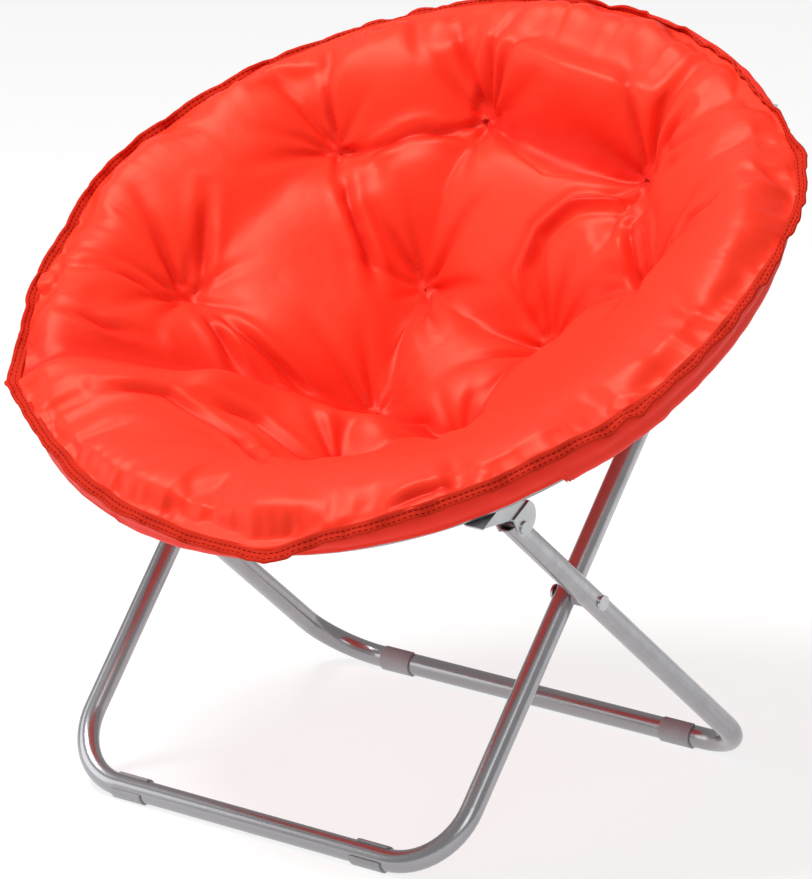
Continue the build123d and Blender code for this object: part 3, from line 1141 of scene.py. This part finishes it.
def wrap_stop(angle):
    """Share of the band's whole wrap that the cloth reaches: less where the tube is left bare."""
    bare = 0.0
    for start, end in OPENINGS:
        middle, half = (start + end) / 2, (end - start) / 2
        bare = max(bare, 1 - smooth_step(half - 1.0, half + 1.0, turn_between(angle, middle)))
    return 1 - bare * (BARE_SHARE + ripple(angle, "band's end share"))


def bowl_reach(r, steps=60):
    """Length of the cloth back from its middle out to a radius."""
    points = [(r * i / steps, bowl(r * i / steps)) for i in range(steps + 1)]
    return sum(hypot(b[0] - a[0], b[1] - a[1]) for a, b in zip(points, points[1:]))


def sheet_area(bm, way):
    """Area of the part of a sheet on one side of the fold line."""
    cut = -cover().hinge_forward
    return sum(f.calc_area() for f in bm.faces if (f.calc_center_median().y - cut) * way > 0)


class CHAIR_OT_backing(bpy.types.Operator):
    """Wraps the band round the hoop and hangs the cloth back under the pad"""

    bl_idname = "chair.backing"
    bl_label = "Cloth back and band"

    def execute(self, context):
        cloth = cloth_material("back_cloth", cover().back_colour, 0.55, 0.35, gloss=0.25)
        self.band(cloth)
        self.back(cloth)
        return {"FINISHED"}

    def band(self, cloth):
        """The band round the hoop's tube, a sheet for each piece of the hoop."""
        band = strip(720, 22, wrap_point)
        areas = [sheet_area(band, way) for way in (1, -1)]
        thicken(band, CLOTH, -1)
        pieces = halves(band, "edge_band", cloth, closed=True)
        hinge = hinge_place()[1]
        radius, width = BAND_FLAT
        for piece, area, span in zip(pieces, areas, (180 + 2 * hinge, 180 - 2 * hinge)):
            self.sheet(piece, (radians(span) * radius, width), "stretched", area, "rim_sleeve")

    def back(self, cloth):
        """The cloth back that hangs in the hoop, a sheet for each of its pieces."""
        c = cover()
        back = disc_sheet(90)
        for vert in back.verts:
            r = (c.bowl_radius + BACK_EDGE) * min(hypot(vert.co.x, vert.co.y), 1.0)
            angle = bearing(vert.co.x, vert.co.y)
            x, v, n = polar(angle, r, bowl(r) - BACK_DROP)
            slack = ripple(angle, "cloth back") * smooth_step(0.2, 0.34, r)
            vert.co = (x, v, n - abs(slack) + CLOTH * exp(-near_tuft(x, v) / 0.02))
        areas = [sheet_area(back, way) for way in (1, -1)]
        thicken(back, CLOTH, -1)
        pieces = halves(back, "cloth_back", cloth, closed=True)
        whole, fold = bowl_reach(c.bowl_radius), bowl_reach(c.hinge_forward)
        across, along = BACK_FLAT
        for piece, area, length in zip(pieces, areas, (whole + fold, whole - fold)):
            self.sheet(piece, (across * whole, along * length), "hung", area, "back_panel")
        flatten(pieces)

    def sheet(self, piece, flat, held, area, node):
        """Hides the frame's node whose place a rear or front piece takes on its piece of the hoop."""
        place = piece.name.split("_")[-1]
        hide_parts(f"{node}_{place}")


class CHAIR_OT_frame_finish(bpy.types.Operator):
    """Gives the steel, plastic and zinc pieces their finishes"""

    bl_idname = "chair.frame_finish"
    bl_label = "Frame finishes"

    def execute(self, context):
        finishes = {slot: metal_material(*look) for slot, look in FINISHES.items()}
        # The cover's own nodes are replaced, and keep a plain cloth
        cloth = cloth_material("spare_cloth", cover().colour, 0.5, 0.5, sheen=0.1)
        for part in frame["record"]["subparts"]:
            node = frame["nodes"][part["node"]]
            node.data.materials.clear()
            node.data.materials.append(finishes.get(part["material_slot"], cloth))
        for side in ("left", "right"):
            self.turn_clip(f"rear_clip_{side}", finishes["plastic"])
        return {"FINISHED"}

    def turn_clip(self, name, material):
        """Snaps a clip of the rear bar on from the other side, so that it opens to the back."""
        bm = bmesh.new()
        bm.from_mesh(frame["nodes"][name].data)
        bmesh.ops.remove_doubles(bm, verts=bm.verts, dist=NEAR)
        reach = [vert.co.y for vert in bm.verts]
        to_middle = Matrix.Translation((0, -(min(reach) + max(reach)) / 2, 0))
        bmesh.ops.scale(bm, vec=(1, -1, 1), space=to_middle, verts=bm.verts)
        bmesh.ops.reverse_faces(bm, faces=bm.faces)
        clip = finish_piece(bm, f"{name}_turned", material, "rear_legs")
        clip.data.set_sharp_from_angle(angle=radians(30))
        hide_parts(name)


# -------- studio


# Softboxes: name, place, size, and share of the key light's power
SOFTBOXES = (
    ("key", (-0.9, -0.9, 3.5), 1.3, 1.0),
    ("fill", (2.6, -2.4, 2.0), 1.6, 0.15),
    ("side", (-2.6, -1.8, 1.0), 1.8, 0.16),
)
# How bright the studio looks where the metal mirrors it, over its ambient light
MIRRORED = 0.28
FLOOR_SIZE = 30
# The floor is dull, and glows so that it stays pale
FLOOR = {
    "Base Color": (0.3, 0.3, 0.3, 1),
    "Roughness": 1.0,
    "Specular IOR Level": 0.0,
    "Emission Color": (1, 1, 1, 1),
    "Emission Strength": 0.80,
}


class CHAIR_OT_stage(bpy.types.Operator):
    """Puts up the pale floor, the soft lights and the camera"""

    bl_idname = "chair.stage"
    bl_label = "Studio"

    def execute(self, context):
        s = stage()
        context.scene.view_settings.view_transform = "Standard"
        bm = bmesh.new()
        bmesh.ops.create_grid(bm, x_segments=1, y_segments=1, size=FLOOR_SIZE)
        floor = finish_piece(bm, "floor", self.floor_material(), None, smooth=False)
        floor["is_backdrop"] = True
        self.lights(s)
        self.camera(s)
        return {"FINISHED"}

    def floor_material(self):
        """The floor's own material."""
        material = bpy.data.materials.new("pale_floor")
        material.use_nodes = True
        tree = material.node_tree
        set_inputs(tree, tree.nodes["Principled BSDF"], FLOOR)
        return material

    def lights(self, s):
        """A studio that is white to the camera and dim to the chair, and three softboxes."""
        world = bpy.data.worlds.new("studio")
        bpy.context.scene.world = world
        world.use_nodes = True
        tree = world.node_tree
        background = tree.nodes["Background"]
        path = tree.nodes.new("ShaderNodeLightPath")
        glossy = path.outputs["Is Glossy Ray"]
        mirrored = math_node(tree, "MULTIPLY_ADD", glossy, MIRRORED, s.ambient)
        level = math_node(tree, "MAXIMUM", path.outputs["Is Camera Ray"], mirrored)
        set_inputs(tree, background, {"Strength": level, "Color": (1, 1, 1, 1)})
        for name, place, size, share in SOFTBOXES:
            self.softbox(name, place, size, s.key_power * share)

    def softbox(self, name, place, size, power):
        """A square lamp that faces the chair."""
        lamp = bpy.data.lights.new(name, "AREA")
        lamp.energy = power
        lamp.size = size
        holder = new_object(name, lamp)
        holder.location = place
        aim = Vector(stage().aim) - Vector(place)
        holder.rotation_euler = aim.to_track_quat("-Z", "Y").to_euler()

    def camera(self, s):
        """Looks at the aim from the photograph's angle."""
        lens = bpy.data.cameras.new("camera")
        lens.lens = s.focal_length
        camera = new_object("camera", lens)
        back = Vector(
            (sin(s.azimuth) * cos(s.elevation), -cos(s.azimuth) * cos(s.elevation), sin(s.elevation))
        )
        camera.location = Vector(s.aim) + back * s.distance
        camera.rotation_euler = (-back).to_track_quat("-Z", "Y").to_euler()
        bpy.context.scene.camera = camera


class CHAIR_PT_panel(bpy.types.Panel):
    """Lists the chair's pieces and their sizes"""

    bl_idname = "CHAIR_PT_panel"
    bl_label = "Saucer chair"
    bl_space_type = "VIEW_3D"
    bl_region_type = "UI"
    bl_category = "Chair"

    def draw(self, context):
        for group in (context.scene.chair_cover, context.scene.chair_stage):
            box = self.layout.box()
            for name in group.bl_rna.properties.keys():
                if name not in ("rna_type", "name"):
                    box.prop(group, name)
        for operator in STEPS:
            self.layout.operator(operator.bl_idname)


STEPS = (CHAIR_OT_frame_finish, CHAIR_OT_cushion, CHAIR_OT_edge, CHAIR_OT_backing, CHAIR_OT_stage)
CLASSES = (ChairCover, ChairStage, *STEPS, CHAIR_PT_panel)


def register():
    for cls in CLASSES:
        bpy.utils.register_class(cls)
    bpy.types.Scene.chair_cover = bpy.props.PointerProperty(type=ChairCover)
    bpy.types.Scene.chair_stage = bpy.props.PointerProperty(type=ChairStage)


def unregister():
    del bpy.types.Scene.chair_cover
    del bpy.types.Scene.chair_stage
    for cls in reversed(CLASSES):
        bpy.utils.unregister_class(cls)


def main():
    register()
    bpy.ops.chair.frame_finish()
    bpy.ops.chair.cushion()
    bpy.ops.chair.edge()
    bpy.ops.chair.backing()
    bpy.ops.chair.stage()
    boxes = {"cad": CAD_BOX, "visual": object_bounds()}
    {name: [list(corner) for corner in box] for name, box in boxes.items()}


if __name__ == "__main__":
    main()
